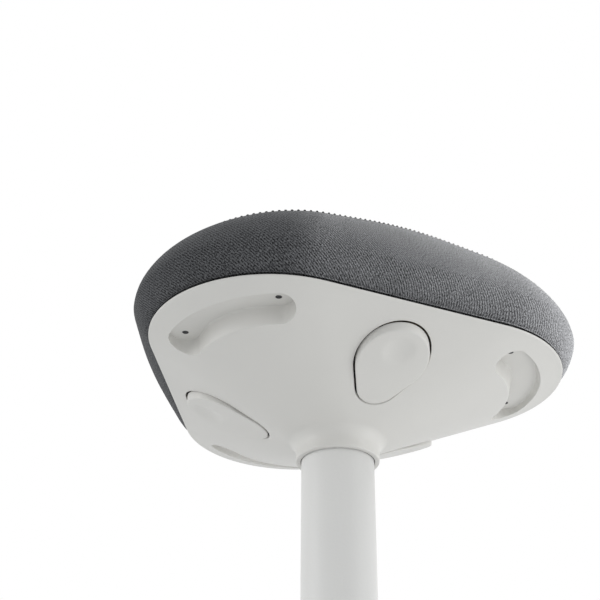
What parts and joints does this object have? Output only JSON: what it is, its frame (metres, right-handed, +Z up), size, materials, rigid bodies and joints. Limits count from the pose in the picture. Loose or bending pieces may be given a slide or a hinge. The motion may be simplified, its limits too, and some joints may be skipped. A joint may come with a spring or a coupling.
{
  "type": "sit-stand stool",
  "caption": "Height-adjustable perching stool: rounded triangular padded seat with three release levers and hand recesses on a telescopic gas-lift column and weighted rocker base.",
  "frame": {"origin": "centre of the rubber sole's flat face on the floor, on the column's axis, with the seat half way up its travel", "axes": "+Z up along the column, -Y towards the front lever, +X to the right of someone who faces the front lever's side"},
  "size_m": [0.3822, 0.3768, 0.7],
  "materials": {
    "grey_plastic": "matte",
    "painted_tube": "satin",
    "seat_fabric": "matte",
    "foam": "matte",
    "plywood": "matte",
    "sole_rubber": "matte",
    "dark_plastic": "matte",
    "sleeve_plastic": "satin",
    "cage_plastic": "matte",
    "ballast_iron": "matte",
    "zinc": "satin",
    "bearing_steel": "polished",
    "spring_steel": "satin",
    "rod_chrome": "polished",
    "piston_alloy": "satin",
    "black_cylinder": "satin",
    "socket_alloy": "satin",
    "black_plate": "matte",
    "black_screw": "satin",
    "pin_brass": "satin"
  },
  "bodies": {
    "base": {"rubber_sole": "sole_rubber", "base_pan": "dark_plastic", "ballast_disc": "ballast_iron", "flange_bolts": "zinc", "base_cover": "grey_plastic", "base_screws": "zinc", "neck_ring": "sole_rubber", "stand_tube": "painted_tube", "guide_sleeve": "sleeve_plastic", "lower_race": "bearing_steel", "bearing_cage": "cage_plastic", "bearing_balls": "bearing_steel"},
    "rod": {"upper_race": "bearing_steel", "rod_clip": "spring_steel", "bump_stop": "sole_rubber", "piston_rod": "rod_chrome", "piston": "piston_alloy", "piston_seal": "sole_rubber"},
    "seat": {"gas_cylinder": "black_cylinder", "cylinder_cap": "piston_alloy", "cover_tube": "painted_tube", "glide_bush": "dark_plastic", "tube_screws": "zinc", "cone_socket": "socket_alloy", "seat_plate": "black_plate", "plate_bolts": "zinc", "tee_nuts": "zinc", "seat_board": "plywood", "foam_pad": "foam", "seat_cover": "seat_fabric", "hem_staples": "zinc", "bottom_shell": "grey_plastic", "shell_screws": "black_screw", "lever_pins": "bearing_steel", "star_spring": "spring_steel"},
    "front_lever": {"lever_front": "grey_plastic"},
    "right_lever": {"lever_right": "grey_plastic"},
    "left_lever": {"lever_left": "grey_plastic"},
    "valve": {"valve_pin": "pin_brass"}
  },
  "joints": [
    {"name": "seat_swivel", "type": "hinge", "parent": "base", "child": "rod", "pos_m": [0, 0, 0.041], "axis": [0, 0, 1], "continuous": true},
    {"name": "seat_height", "type": "slide", "parent": "rod", "child": "seat", "axis": [0, 0, 1], "range_m": [-0.11, 0.11]},
    {"name": "front_lever_press", "type": "hinge", "parent": "seat", "child": "front_lever", "pos_m": [0, -0.066, 0.576], "axis": [-1, 0, 0], "range_deg": [0, 6], "stiffness_Nm_per_rad": 4.8, "springref_deg": -4.76, "deforming": ["star_spring"]},
    {"name": "right_lever_press", "type": "hinge", "parent": "seat", "child": "right_lever", "pos_m": [0.05716, 0.033, 0.576], "axis": [0.5, -0.866, 0], "range_deg": [0, 6], "stiffness_Nm_per_rad": 4.8, "springref_deg": -4.76, "deforming": ["star_spring"]},
    {"name": "left_lever_press", "type": "hinge", "parent": "seat", "child": "left_lever", "pos_m": [-0.05716, 0.033, 0.576], "axis": [0.5, 0.866, 0], "range_deg": [0, 6], "stiffness_Nm_per_rad": 4.8, "springref_deg": -4.76, "deforming": ["star_spring"]},
    {"name": "valve_travel", "type": "slide", "parent": "seat", "child": "valve", "axis": [0, 0, -1], "range_m": [0, 0.0055], "deforming": ["star_spring"]}
  ],
  "couplings": [
    {"joint": "valve_travel", "follows": "front_lever_press", "m_per_rad": 0.0525}
  ]
}
